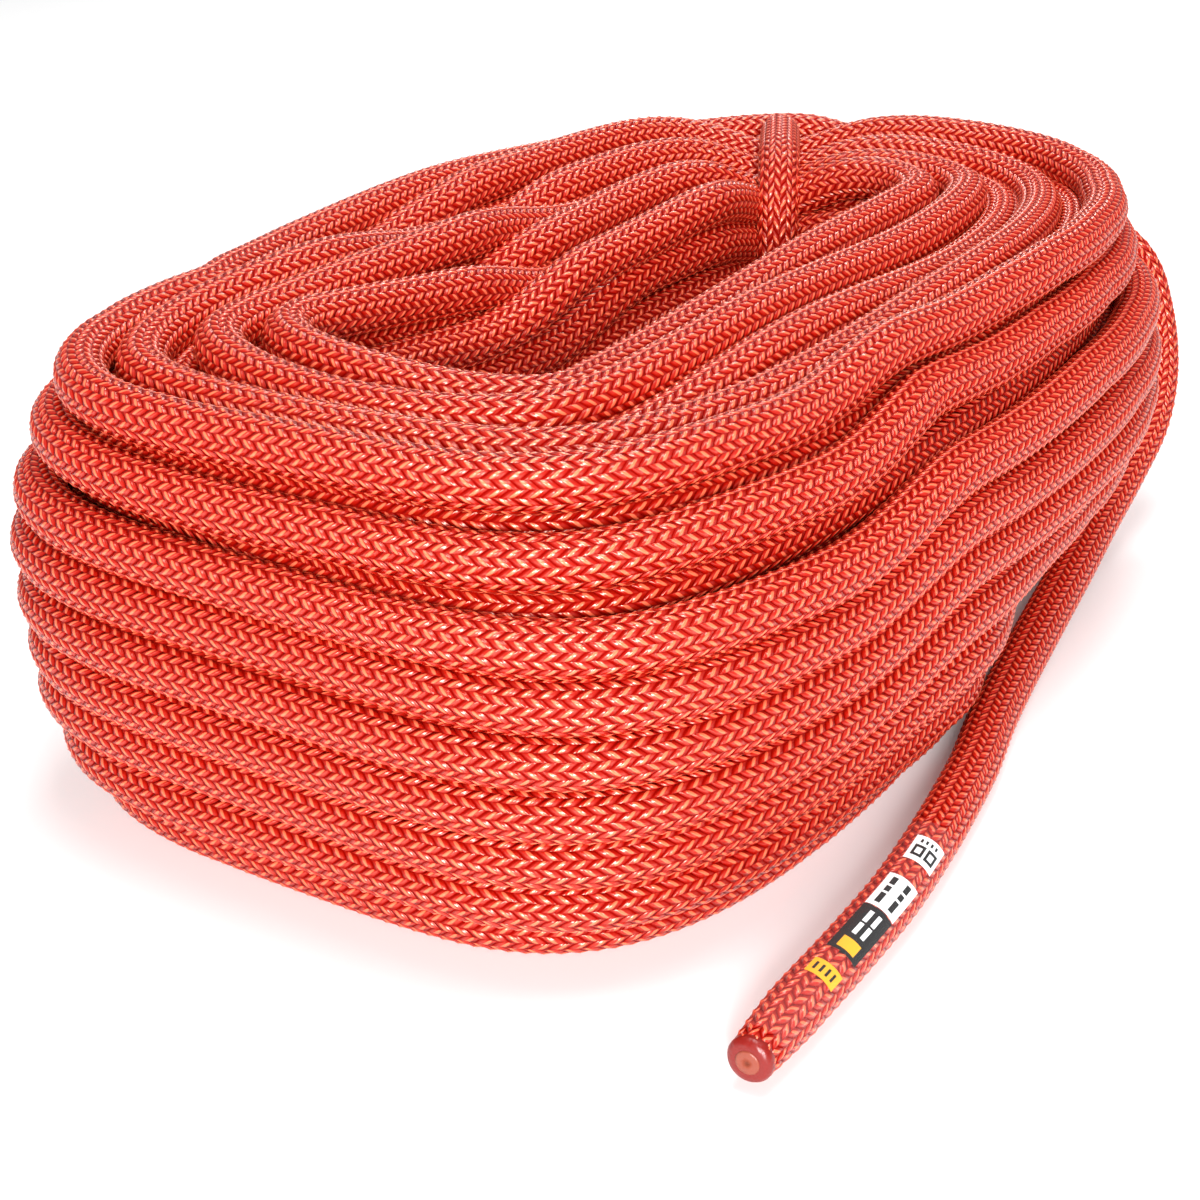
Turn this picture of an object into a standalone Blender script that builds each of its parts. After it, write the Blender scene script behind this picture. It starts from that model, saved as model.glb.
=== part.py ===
"""A kernmantle climbing rope, wound into an oval coil, bound by its inner end, with its labelled outer end free.

Metres, +Z up. The coil lies on z = 0, and its long side runs along X.
"""

import math

import bmesh
import bpy
import numpy as np
from mathutils import Vector

# Rope
ROPE = 0.0105  # diameter of the sheathed rope
GAP = 0.0003  # room between neighbouring pieces
SHEATH_WALL = 0.0011
STRAND_RADIUS = 0.0011
STRAND_RING = 0.00245  # from the rope's axis to the axis of an outer strand
OUTER_STRANDS = 6
TAPE_INSIDE, TAPE_OUTSIDE = 0.00366, 0.00380
TAPE_HALF_ANGLE = math.radians(16)

# Coil
COIL_CENTRE = (-0.005055, 0.009332)
LAYERS = 9
LAYER_PITCH = 1.0136 * ROPE
COLUMNS = 7
COIL_HEIGHT = ROPE + (LAYERS - 1) * LAYER_PITCH
HALF_LENGTH, HALF_WIDTH = 13.83 * ROPE, 8.07 * ROPE  # outside, at the top and at the floor
SWELL_LENGTH, SWELL_WIDTH = 0.66 * ROPE, 1.08 * ROPE  # more at mid-height
CORNERS = (3.9, 4.0, 4.6, 2.8)  # superellipse exponents, one for each quarter from +X +Y round to +X -Y
HOLE_X = 0.5 * ROPE
HOLE_HALF_LENGTH, HOLE_RADIUS = 8.9 * ROPE, 1.5 * ROPE
HOLE_WIDENING, HOLE_SHIFT = 0.9, 1.2 * ROPE  # at its -X end: wider by this share, and moved to +Y
SCALLOP = 0.12 * ROPE  # depth of the furrow between two turns on the outside
TOP_FURROW = 0.36 * ROPE
FOOT_INSET = 0.35 * ROPE  # the lowest turns touch the floor this far in from their sides
STATIONS = 44
FURROW_ANGLE = math.radians(20)  # sharper edges than this show as lines between turns

# The bed that the free end presses into the foot of the long side
BED_DEPTH = 1.45 * ROPE
BED_START, BED_RISE = -2.0 * ROPE, 5.0 * ROPE
BED_END, BED_FALL = 13.5 * ROPE, 3.0 * ROPE
BED_TOP, BED_FADE = 1.5 * ROPE, 3.0 * ROPE

# The turn that binds the coil
TIE_AT = 0.235  # in quarters round the coil from +X
TIE_SINK = 0.95 * ROPE  # it draws the turns in this far
TIE_CORNER = 1.6 * ROPE  # radius of the bound turns' corners
TIE_ROOM = 0.53 * ROPE  # from the bound turns to the axis of the tie
TIE_HALF_SLOT = 0.57 * ROPE
SLOT_EDGE = 0.0012
TIE_START_RUN, TIE_END_HEIGHT = 2.6 * ROPE, 3.3 * ROPE

# The free end, from where it leaves the top turn to its tip, in rope diameters from the coil's centre
FREE_END = (
    (14.55, 3.10, 8.00),
    (14.68, 1.60, 7.98),
    (14.78, -0.20, 7.80),
    (14.88, -2.00, 7.42),
    (14.95, -3.60, 6.80),
    (15.02, -4.98, 5.90),
    (14.65, -5.70, 4.75),
    (14.00, -6.20, 3.50),
    (12.85, -6.50, 2.45),
    (11.02, -6.65, 1.70),
    (8.90, -6.87, 1.20),
    (6.50, -7.25, 0.90),
    (3.93, -7.67, 0.68),
    (1.33, -8.15, 0.57),
    (-0.88, -8.63, 0.54),
    (-2.70, -9.12, 0.53),
    (-4.40, -9.48, 0.55),
    (-6.10, -9.80, 0.59),
    (-8.20, -10.10, 0.605),
    (-10.30, -10.24, 0.605),
    (-12.30, -10.32, 0.605),
    (-13.95, -10.42, 0.605),
)
POINT_SPACING = 2.3 * ROPE
TIP_TAPER = ((1.5 * ROPE, 1.0), (0.9 * ROPE, 0.93), (0.35 * ROPE, 0.84), (0.0, 0.78))
STRAND_STOP = 1.6 * ROPE
SEAL_RADIUS, SEAL_LENGTH = 0.0039, 0.0032
SPIGOT_RADIUS, SPIGOT_LENGTH = 0.0021, 0.0150
TIE_SEAL_RADIUS = 0.0045

# Labels under the clear sleeve: name, distance from the tip to the middle, length, half angle, finish
LABELS = (
    ("batch_label", 0.0235, 0.0047, 33, "yellow_print"),
    ("maker_label", 0.0385, 0.0162, 35, "black_print"),
    ("standard_label", 0.0529, 0.0120, 35, "white_print"),
    ("length_label", 0.0700, 0.0092, 34, "white_print"),
)
LABEL_FACES = (0.0, -0.48, 0.88)
LABEL_INSIDE, LABEL_OUTSIDE = 0.00540, 0.00556
SLEEVE_INSIDE, SLEEVE_WALL = 0.00590, 0.0002
SLEEVE_FROM, SLEEVE_TO = 0.0028, 0.0800

# Fineness
SIDES_12, SIDES_8 = 4, 2  # bevel resolutions of round rods
TURNED_SIDES, DOME_STEPS = 16, 5
ARC_STEPS = 8  # in each corner of the bound turns
LABEL_STEPS, TAPE_STEPS = 8, 2
CURVE_STEPS = 24  # between two points of a route
LENGTH_STEPS = 400  # for measuring along a quarter of the coil
SHARP_EDGE = math.radians(45)

# Finishes: colour, roughness and alpha
FINISHES = {
    "red_sheath": ((0.78, 0.045, 0.02), 0.62, 1.0),
    "melted_nylon": ((0.45, 0.03, 0.015), 0.30, 1.0),
    "white_core": ((0.86, 0.85, 0.80), 0.60, 1.0),
    "tape_film": ((0.10, 0.30, 0.70), 0.40, 1.0),
    "yellow_print": ((1.0, 0.72, 0.02), 0.45, 1.0),
    "black_print": ((0.01, 0.01, 0.012), 0.45, 1.0),
    "white_print": ((0.90, 0.91, 0.90), 0.45, 1.0),
    "clear_sleeve": ((0.95, 0.95, 0.95), 0.15, 0.2),
}


def clear_scene():
    for obj in list(bpy.data.objects):
        bpy.data.objects.remove(obj, do_unlink=True)


def make_finish(name):
    colour, roughness, alpha = FINISHES[name]
    made = bpy.data.materials.new(name)
    made.use_nodes = True
    shader = made.node_tree.nodes["Principled BSDF"]
    shader.inputs["Base Color"].default_value = (*colour, 1.0)
    shader.inputs["Roughness"].default_value = roughness
    shader.inputs["Metallic"].default_value = 0.0
    shader.inputs["Alpha"].default_value = alpha
    return made


def add(name, data, finish):
    obj = bpy.data.objects.new(name, data)
    bpy.context.scene.collection.objects.link(obj)
    data.materials.append(finish)
    return obj


def smoothstep(value):
    value = min(max(value, 0.0), 1.0)
    return value * value * (3.0 - 2.0 * value)


def to_world(x, y, z):
    return Vector((x + COIL_CENTRE[0], y + COIL_CENTRE[1], z))


# The coil's plan. A place round it is counted in quarters, 0 at +X, 1 at +Y, 2 at -X and 3 at -Y.


def corner_point(quarter, angle):
    """A point of the unit superellipse of this quarter, at 0 to 90 degrees into it."""
    power = 2.0 / CORNERS[quarter]
    across, along = max(math.cos(angle), 0.0) ** power, max(math.sin(angle), 0.0) ** power
    if quarter % 2:
        across, along = along, across
    sign_x = -1.0 if quarter in (1, 2) else 1.0
    sign_y = -1.0 if quarter in (2, 3) else 1.0
    return sign_x * across, sign_y * along


def running_length(points):
    return np.concatenate([[0.0], np.cumsum(np.linalg.norm(np.diff(points, axis=0), axis=1))])


def quarter_angles(quarter):
    """The running length and the angle at even steps through a quarter, for reading one from the other."""
    angles = np.linspace(0.0, math.pi / 2, LENGTH_STEPS)
    points = np.array([corner_point(quarter, angle) for angle in angles])
    run = running_length(points * (HALF_LENGTH, HALF_WIDTH))
    return run / run[-1], angles


ANGLES = [quarter_angles(quarter) for quarter in range(4)]


def outer_point(place, z, inset=0.0):
    """On the outside of the coil at this height, or this far in from it."""
    quarter = int(place) % 4
    run, angles = ANGLES[quarter]
    x, y = corner_point(quarter, float(np.interp(place % 1.0, run, angles)))
    height = min(max(2.0 * z / COIL_HEIGHT - 1.0, -1.0), 1.0)
    swell = 1.0 - height * height
    x *= HALF_LENGTH + SWELL_LENGTH * swell - inset
    y *= HALF_WIDTH + SWELL_WIDTH * swell - inset
    if y < 0.0:
        bed = smoothstep((x - BED_START) / BED_RISE) * smoothstep((BED_END - x) / BED_FALL)
        bed *= 1.0 - smoothstep((z - BED_TOP) / BED_FADE)
        y += BED_DEPTH * bed * smoothstep(-y / HALF_WIDTH * 2.0)
    return np.array((x, y))


def hole_point(place, inset=0.0):
    """On the wall of the long hole, or this far into the turns from it."""
    quarter, part = int(place) % 4, place % 1.0
    radius = HOLE_RADIUS + inset
    straight = HOLE_HALF_LENGTH - HOLE_RADIUS
    bend = math.pi / 2 * radius
    run = (part if quarter % 2 == 0 else 1.0 - part) * (straight + bend)
    angle = min(run, bend) / radius
    x = straight - max(run - bend, 0.0) + radius * math.cos(angle)
    y = radius * math.sin(angle)
    sign_x = -1.0 if quarter in (1, 2) else 1.0
    sign_y = -1.0 if quarter in (2, 3) else 1.0
    left = 0.5 - 0.5 * sign_x * x / (straight + radius)
    return np.array((HOLE_X + sign_x * x, sign_y * y * (1.0 + HOLE_WIDENING * left) + HOLE_SHIFT * left))


def layer_height(layer):
    return ROPE / 2 + layer * LAYER_PITCH


def wound_section(place):
    """The section of the wound turns: up the outside, over the top and down the hole."""
    section = [(*outer_point(place, 0.0, FOOT_INSET), 0.0)]
    for layer in range(LAYERS):
        z = layer_height(layer)
        section.append((*outer_point(place, z), z))
        if layer < LAYERS - 1:
            z += LAYER_PITCH / 2
            section.append((*outer_point(place, z, SCALLOP), z))
    out = outer_point(place, layer_height(LAYERS - 1), ROPE / 2)
    hole = hole_point(place, ROPE / 2)
    for column in range(COLUMNS):
        z = COIL_HEIGHT - TOP_FURROW * (column % 2)
        section.append((*(out + (hole - out) * column / (COLUMNS - 1)), z))
    section += [(*hole_point(place), layer_height(layer)) for layer in reversed(range(LAYERS))]
    section.append((*hole_point(place, FOOT_INSET), 0.0))
    return section


def tie_line():
    """Where the tie passes: the outside of the coil there, the way in to the hole, and how far that is."""
    out, hole = outer_point(TIE_AT, COIL_HEIGHT / 2), hole_point(TIE_AT)
    width = float(np.linalg.norm(hole - out))
    return out, (hole - out) / width, width


def bound_outline(margin, corner, low):
    """A rectangle with round corners, clockwise: distances in from the outside of the coil, and heights."""
    width = tie_line()[2]
    left, right = margin, width - margin
    top = COIL_HEIGHT - margin
    corners = (
        (left + corner, top - corner, math.pi),
        (right - corner, top - corner, math.pi / 2),
        (right - corner, low + corner, 0.0),
        (left + corner, low + corner, -math.pi / 2),
    )
    points = []
    for x, z, angle in corners:
        for turn in np.linspace(angle, angle - math.pi / 2, ARC_STEPS + 1):
            points.append((x + corner * math.cos(turn), z + corner * math.sin(turn)))
    return np.array(points)


def bound_section(shift, like):
    """The section where the tie draws the turns in, moved by shift, point for point like another."""
    out, inward, _ = tie_line()
    loop = bound_outline(TIE_SINK, TIE_CORNER, ROPE + 2 * GAP)
    middle = loop.mean(axis=0)
    turns = np.arctan2(loop[:, 1] - middle[1], loop[:, 0] - middle[0])
    section = []
    for x, y, z in like:
        turn = math.atan2(z - middle[1], float(np.dot((x, y) - out, inward)) - middle[0])
        width, height = (np.interp(turn, turns, part, period=2 * math.pi) for part in loop.T)
        section.append((*(out + inward * width + shift), float(height)))
    return section


def slot_side(side, onward):
    """The pair of sections on one side of the tie's slot, the one further from the tie first."""
    like = wound_section(TIE_AT)
    edge = onward * side * (TIE_HALF_SLOT + SLOT_EDGE)
    full = [(x + edge[0], y + edge[1], z) for x, y, z in like]
    return [full, bound_section(onward * side * TIE_HALF_SLOT, like)]


def coil_sections():
    """The sections round the coil in order, with a slot for the tie."""
    out, inward, width = tie_line()
    middle = out + inward * width / 2
    onward = np.array((inward[1], -inward[0]))
    before, after = [], []
    for place in np.linspace(0.0, 4.0, STATIONS, endpoint=False):
        section = wound_section(place)
        if np.linalg.norm(np.mean(section, axis=0)[:2] - middle) > 2 * TIE_HALF_SLOT:
            (before if place < TIE_AT else after).append(section)
    return before + slot_side(-1, onward) + slot_side(1, onward)[::-1] + after


def loop_mesh(name, sections):
    """A closed body through rings of points that run round a loop."""
    mesh = bmesh.new()
    rings = [[mesh.verts.new(to_world(*point)) for point in section] for section in sections]
    count = len(rings[0])
    for ring, following in zip(rings, rings[1:] + rings[:1]):
        for i in range(count):
            j = (i + 1) % count
            mesh.faces.new((ring[i], ring[j], following[j], following[i]))
    bmesh.ops.recalc_face_normals(mesh, faces=mesh.faces)
    data = bpy.data.meshes.new(name)
    mesh.to_mesh(data)
    mesh.free()
    return data


def build_coil(finish):
    data = loop_mesh("rope_coil", coil_sections())
    add("rope_coil", data, finish)
    data.shade_smooth()
    data.set_sharp_from_angle(angle=FURROW_ANGLE)


# Pieces that follow a line


def smooth_route(points, spacing):
    """Even points along the smooth curve through a row of points."""
    points = np.array(points, float)
    ends = np.vstack([2 * points[0] - points[1], points, 2 * points[-1] - points[-2]])
    curve = []
    for a, b, c, d in zip(ends, ends[1:], ends[2:], ends[3:]):
        for part in np.linspace(0.0, 1.0, CURVE_STEPS, endpoint=False):
            curve.append(
                0.5 * (2 * b + (c - a) * part + (2 * a - 5 * b + 4 * c - d) * part**2
                + (3 * b - 3 * c + d - a) * part**3)
            )
    curve = np.array(curve + [points[-1]])
    run = running_length(curve)
    even = np.linspace(0.0, run[-1], round(run[-1] / spacing) + 1)
    return np.column_stack([np.interp(even, run, curve[:, axis]) for axis in range(3)])


def stretch(points, start, end, extra=()):
    """The part of a row of points between two running lengths, with its ends and any extra places put in."""
    run = running_length(points)
    places = [start, end, *extra, *(at for at in run if start < at < end)]
    places = sorted({round(at, 7) for at in places})
    return np.column_stack([np.interp(places, run, points[:, axis]) for axis in range(3)]), places


def frames(points):
    """At each point of a line: a direction across it that stays near where the labels face, and its partner."""
    steps = np.diff(points, axis=0)
    steps /= np.linalg.norm(steps, axis=1)[:, None]
    tangents = np.vstack([steps[:1], steps[:-1] + steps[1:], steps[-1:]])
    tangents /= np.linalg.norm(tangents, axis=1)[:, None]
    across = np.array(LABEL_FACES)
    rows = []
    for tangent in tangents[::-1]:
        across = across - tangent * float(np.dot(across, tangent))
        across = across / np.linalg.norm(across)
        rows.append((across, np.cross(tangent, across)))
    return rows[::-1]


def line_object(name, points, radius, sides, finish, factors=None, wall=0.0):
    """A round rod along the points or, with a wall, a tube whose wall lies inside that radius."""
    data = bpy.data.curves.new(name, "CURVE")
    data.dimensions = "3D"
    data.bevel_depth = radius
    data.bevel_resolution = sides
    data.use_fill_caps = wall == 0.0
    spline = data.splines.new("POLY")
    spline.points.add(len(points) - 1)
    for i, (knot, point) in enumerate(zip(spline.points, points)):
        knot.co = (*point, 1.0)
        knot.radius = 1.0 if factors is None else factors[i]
    spline.use_smooth = True
    obj = add(name, data, finish)
    if wall:
        shell = obj.modifiers.new("wall", "SOLIDIFY")
        shell.thickness = wall
        shell.offset = -1.0
    return obj


def free_end_points():
    """The free end's axis, tip first."""
    scaled = [to_world(*(value * ROPE for value in point)) for point in FREE_END]
    return smooth_route(scaled, POINT_SPACING)[::-1]


def taper(places):
    distances, factors = zip(*reversed(TIP_TAPER))
    return [float(np.interp(at, distances, factors)) for at in places]


def build_sheath(axis, finish):
    extra = [distance for distance, _ in TIP_TAPER[:-1]]
    points, places = stretch(axis, 0.0, running_length(axis)[-1], extra)
    line_object("free_end_sheath", points, ROPE / 2, SIDES_12, finish, taper(places), SHEATH_WALL)


def build_core(axis, strand_finish, tape_finish):
    points, _ = stretch(axis, STRAND_STOP, running_length(axis)[-1])
    across = frames(points)
    line_object("core_strand_0", points, STRAND_RADIUS, SIDES_8, strand_finish)
    for number in range(OUTER_STRANDS):
        angle = 2 * math.pi * number / OUTER_STRANDS
        line = [
            point + STRAND_RING * (math.cos(angle) * a + math.sin(angle) * b)
            for point, (a, b) in zip(points, across)
        ]
        line_object(f"core_strand_{number + 1}", line, STRAND_RADIUS, SIDES_8, strand_finish)
    patch("marker_tape", points, TAPE_INSIDE, TAPE_OUTSIDE, TAPE_HALF_ANGLE, TAPE_STEPS, tape_finish)


def patch(name, points, inside, outside, half_angle, steps, finish):
    """A thin sheet bent round the rope along a stretch of it."""
    mesh = bmesh.new()
    rings = []
    for point, (a, b) in zip(points, frames(points)):
        ring = []
        for radius, order in ((inside, 1), (outside, -1)):
            for step in range(steps + 1):
                angle = order * half_angle * (2.0 * step / steps - 1.0)
                ring.append(mesh.verts.new(point + radius * (math.cos(angle) * a + math.sin(angle) * b)))
        rings.append(ring)
    count = len(rings[0])
    for ring, following in zip(rings, rings[1:]):
        for i in range(count):
            j = (i + 1) % count
            mesh.faces.new((ring[i], ring[j], following[j], following[i]))
    for ring in (rings[0], rings[-1]):
        for i in range(steps):
            mesh.faces.new((ring[i], ring[i + 1], ring[count - 2 - i], ring[count - 1 - i]))
    bmesh.ops.recalc_face_normals(mesh, faces=mesh.faces)
    data = bpy.data.meshes.new(name)
    mesh.to_mesh(data)
    mesh.free()
    add(name, data, finish)
    data.shade_smooth()
    data.set_sharp_from_angle(angle=SHARP_EDGE)


def build_labels(axis, finishes):
    for name, middle, length, half_angle, finish in LABELS:
        points, _ = stretch(axis, middle - length / 2, middle + length / 2 - GAP)
        angle = math.radians(half_angle)
        patch(name, points, LABEL_INSIDE, LABEL_OUTSIDE, angle, LABEL_STEPS, finishes[finish])


def build_sleeve(axis, finish):
    extra = [distance for distance, _ in TIP_TAPER if SLEEVE_FROM < distance]
    points, places = stretch(axis, SLEEVE_FROM, SLEEVE_TO, extra)
    outside = SLEEVE_INSIDE + SLEEVE_WALL
    line_object("end_sleeve", points, outside, SIDES_12, finish, taper(places), SLEEVE_WALL)


def turned(name, base, direction, profile, finish):
    """A body turned about a line: profile holds distances along it and radii, from the middle to the middle."""
    axis = Vector(direction).normalized()
    first = axis.orthogonal().normalized()
    second = axis.cross(first)
    angles = np.linspace(0.0, 2 * math.pi, TURNED_SIDES, endpoint=False)
    mesh = bmesh.new()
    rings = []
    for distance, radius in profile:
        centre = Vector(base) + axis * distance
        if radius == 0.0:
            rings.append([mesh.verts.new(centre)] * TURNED_SIDES)
            continue
        spokes = [radius * (math.cos(angle) * first + math.sin(angle) * second) for angle in angles]
        rings.append([mesh.verts.new(centre + spoke) for spoke in spokes])
    for ring, following in zip(rings, rings[1:]):
        for i in range(TURNED_SIDES):
            j = (i + 1) % TURNED_SIDES
            corners = (ring[i], ring[j], following[j], following[i])
            mesh.faces.new(list(dict.fromkeys(corners)))
    bmesh.ops.recalc_face_normals(mesh, faces=mesh.faces)
    data = bpy.data.meshes.new(name)
    mesh.to_mesh(data)
    mesh.free()
    add(name, data, finish)
    data.shade_smooth()
    data.set_sharp_from_angle(angle=SHARP_EDGE)


def dome(radius, length):
    """The profile of a rounded cap, from its rim to the middle."""
    angles = np.linspace(0.0, math.pi / 2, DOME_STEPS, endpoint=False)
    rim = [(GAP + length * math.sin(angle), radius * math.cos(angle)) for angle in angles]
    return [*rim, (GAP + length, 0.0)]


def build_end_seal(axis, finish):
    """The rope's cut end, melted shut: a cap, and the fused core behind it."""
    direction = axis[0] - axis[1]
    profile = [(-SPIGOT_LENGTH, 0.0), (-SPIGOT_LENGTH, SPIGOT_RADIUS), (GAP, SPIGOT_RADIUS)]
    turned("end_seal", axis[0], direction, profile + dome(SEAL_RADIUS, SEAL_LENGTH), finish)


def tie_points():
    """The binding turn: under the coil, up its outside, over the top and down into the hole."""
    out, inward, _ = tie_line()
    loop = bound_outline(TIE_SINK - TIE_ROOM, TIE_CORNER + TIE_ROOM, ROPE / 2 + GAP)
    corner = ARC_STEPS + 1
    start = (loop[:, 0].max() - TIE_START_RUN, loop[:, 1].min())
    end = (loop[:, 0].max(), TIE_END_HEIGHT)
    flat = np.vstack([start, loop[3 * corner:], loop[:2 * corner], end])
    return np.array([to_world(*(out + inward * width), height) for width, height in flat])


def build_tie(rope_finish, seal_finish):
    points = tie_points()
    line_object("binding_turn", points, ROPE / 2, SIDES_12, rope_finish)
    profile = [(GAP, 0.0), *dome(TIE_SEAL_RADIUS, SEAL_LENGTH)]
    turned("inner_end_seal", points[-1], points[-1] - points[-2], profile, seal_finish)


def main():
    clear_scene()
    finishes = {name: make_finish(name) for name in FINISHES}
    rope, seal = finishes["red_sheath"], finishes["melted_nylon"]
    axis = free_end_points()
    build_coil(rope)
    build_tie(rope, seal)
    build_sheath(axis, rope)
    build_core(axis, finishes["white_core"], finishes["tape_film"])
    build_labels(axis, finishes)
    build_sleeve(axis, finishes["clear_sleeve"])
    build_end_seal(axis, seal)


main()
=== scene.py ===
import math

import bpy
import numpy as np
from mathutils import Matrix, Vector, kdtree


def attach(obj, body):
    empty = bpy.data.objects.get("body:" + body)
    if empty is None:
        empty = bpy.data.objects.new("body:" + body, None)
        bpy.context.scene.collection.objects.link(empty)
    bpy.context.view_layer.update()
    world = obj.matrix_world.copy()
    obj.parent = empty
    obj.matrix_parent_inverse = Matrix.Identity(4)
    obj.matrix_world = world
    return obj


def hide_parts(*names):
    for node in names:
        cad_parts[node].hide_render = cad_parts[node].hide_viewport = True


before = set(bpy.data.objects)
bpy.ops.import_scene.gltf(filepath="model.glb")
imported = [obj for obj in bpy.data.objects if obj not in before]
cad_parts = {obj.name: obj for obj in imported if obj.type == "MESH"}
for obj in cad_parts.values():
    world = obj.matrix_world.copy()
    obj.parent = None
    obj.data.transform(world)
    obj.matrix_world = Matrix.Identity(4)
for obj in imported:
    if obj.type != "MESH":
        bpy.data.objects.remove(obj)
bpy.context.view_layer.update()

# A coiled kernmantle climbing rope. The whole rope is wound turn by turn in the coil's outline. Its turns
# are pressed apart so that they lie beside each other. The line that they follow is dressed with a braided
# sheath. Lengths are in rope diameters until the meshes are made, and in metres where a comment says so.

# The rope and its coil, as in the solid model
ROPE = 0.0105  # metres
COIL_CENTRE = (-0.005055, 0.009332)  # metres
LAYERS, LAYER_PITCH = 9, 1.0136
COIL_HEIGHT = 1.0 + (LAYERS - 1) * LAYER_PITCH
HALF_LENGTH, HALF_WIDTH = 13.83, 8.07
SWELL_LENGTH, SWELL_WIDTH = 0.66, 1.08  # how much further the coil reaches at half its height
CORNERS = (3.9, 4.0, 4.6, 2.8)  # powers that square off the outline's four quarters
HOLE_X, HOLE_HALF_LENGTH, HOLE_RADIUS = 0.5, 8.9, 1.5
HOLE_WIDENING, HOLE_SHIFT = 0.9, 1.2  # the hole is wider towards -X, and lies further to +Y there
BED_DEPTH = 1.45  # the low recess on the -Y side, beside the free end
BED_START, BED_RISE, BED_END, BED_FALL = -2.0, 5.0, 13.5, 3.0
BED_TOP, BED_FADE = 1.5, 3.0
TIE_AT, TIE_SINK, TIE_CORNER, TIE_ROOM = 0.235, 0.95, 1.6, 0.53
TIE_START_RUN, TIE_END_HEIGHT = 2.6, 3.3
GAP = 0.0003 / ROPE
FREE_END = (
    (14.55, 3.10, 8.00),
    (14.68, 1.60, 7.98),
    (14.78, -0.20, 7.80),
    (14.88, -2.00, 7.42),
    (14.95, -3.60, 6.80),
    (15.02, -4.98, 5.90),
    (14.65, -5.70, 4.75),
    (14.00, -6.20, 3.50),
    (12.85, -6.50, 2.45),
    (11.02, -6.65, 1.70),
    (8.90, -6.87, 1.20),
    (6.50, -7.25, 0.90),
    (3.93, -7.67, 0.68),
    (1.33, -8.15, 0.57),
    (-0.88, -8.63, 0.54),
    (-2.70, -9.12, 0.53),
    (-4.40, -9.48, 0.55),
    (-6.10, -9.80, 0.59),
    (-8.20, -10.10, 0.605),
    (-10.30, -10.24, 0.605),
    (-12.30, -10.32, 0.605),
    (-13.95, -10.42, 0.605),
)

# The turns of the coil
COLUMN_ROWS = (9, 8, 8, 7, 8, 7, 9)  # turns in each column, from the outside to the hole
LAST_COLUMN = len(COLUMN_ROWS) - 1
LOWEST = 0.5  # height of the axes of the turns that lie on the floor
ODD_RAISE = 0.45  # every other column starts this much higher
FRONT_SHARES = (0.0, 0.12, 0.25, 0.5, 0.75, 0.88, 1.0)  # the columns' places across the top, on the -Y side
SHARES_FROM, SHARES_RISE = 5.5, 2.5  # height from which the columns take those places
CREST = 8.58  # height of the axes of the top turns
DOME, INNER_DROP = 0.06, 0.12
PLUS_Y_DROP, PLUS_Y_INNER_DROP, PLUS_Y_INNER_FROM = 0.2, 0.35, 0.35
LOW_COLUMNS, FRONT_LOW_COLUMNS = (1, 3, 5), (1, 5)
LOW_DROP, LOW_END_DROP, LOW_SIDE_DROP = 0.15, 0.45, 0.7
LAST_TURN_DROP, LAST_TURN_OUT = 0.25, 0.8  # the turn that leads to the free end
FOOT_INSET, FOOT_HEIGHT = 0.8, 2.0  # the coil draws in at the floor
RIM_INSET, RIM_FRONT_INSET, RIM_FROM, RIM_RISE = 0.15, 0.85, 6.4, 2.2  # and at its upper rim
FUNNEL = 1.0  # how much further the hole reaches to +Y at the top than at the bottom
FUNNEL_FROM, FUNNEL_RISE, FUNNEL_LEVEL = 3.0, 4.0, 0.75
WAVE_HEIGHT, WAVE_ROWS = 0.16, 3.0  # a wave along the outer rows of the -Y side
WAVE_UP, WAVE_DOWN = (3.0, 2.0), (7.2, 2.3)  # distance to -X and spread
TIE_LIFT = 0.8  # how far the tie lifts the lowest turns
COIL_AXES_HEIGHT = 8.1  # about the height from the lowest turns' axes to the highest
# Stretches of the coil's round: middle and spread, in quarters
FUNNEL_SIDE, RIM_FRONT = (1.15, 0.8), (2.65, 0.75)
TOP_PLUS_Y, TOP_END, TOP_FRONT = (1.0, 0.6), (1.9, 0.5), (2.9, 0.6)
TIE_SQUEEZE = (TIE_AT, 0.13)
ZONE_PLACE, ZONE_SPREAD = 1.0, 0.16  # where a turn steps over to the next one, on the +Y side
ZONE_HALF = 0.2
LAST_ZONE = 1.3
WINDING_FROM, WINDING_TO, WINDING_STEP = -0.25, 0.42, 0.028
NODE_SPACING = 0.6
WOBBLE, WOBBLE_LENGTH = 0.15, 8.0
OUTER_WOBBLE = 0.30  # share of the wobble that the outer column takes
SEED = 7
UNDER_REACH, UNDER_BEND = 1.6, (0.3, -1.2, 0.05)  # the way from the tie to the first turn, under the coil
JOIN_NODE = 5  # first node of the wound line after that way

# Pressing the turns apart
TOUCHING = 0.94  # distance between the axes of turns that lie pressed together
ROUNDS, ROUNDS_PER_SEARCH = 240, 12
SEARCH_REACH = 1.35
PUSH_SHARE = 0.9
SMOOTHINGS, SMOOTHING = 2, 0.35
RETURN = 0.006  # share of its move that a node gives back each round
HIGHEST_LIFT = 0.25
OUTLINE_SLACK = 1.006

# Sheath
BRAID_ROWS = 20  # herringbone rows round the rope
SIDES = 2 * BRAID_ROWS
FLOAT_STEP = 0.30  # distance along the rope from one float to the next in its row
CROWN, EDGE_LEVEL, GROOVE = 0.530, 0.505, 0.482
HIDDEN_STEP = 4  # turns deep in the coil keep one ring in this many
HIDDEN_RADIUS = 0.490
HOLE_SEEN_FROM = 4  # lowest row of the hole's wall that gets the fine sheath
SEEN_MARGIN = 31  # nodes of the line over which the fine sheath runs on past what can be seen
RING_WRAP = 1024  # rings after which the braid's count along the rope may start again
TAIL_NODES = 800  # nodes of the line that hold the labelled end
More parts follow.
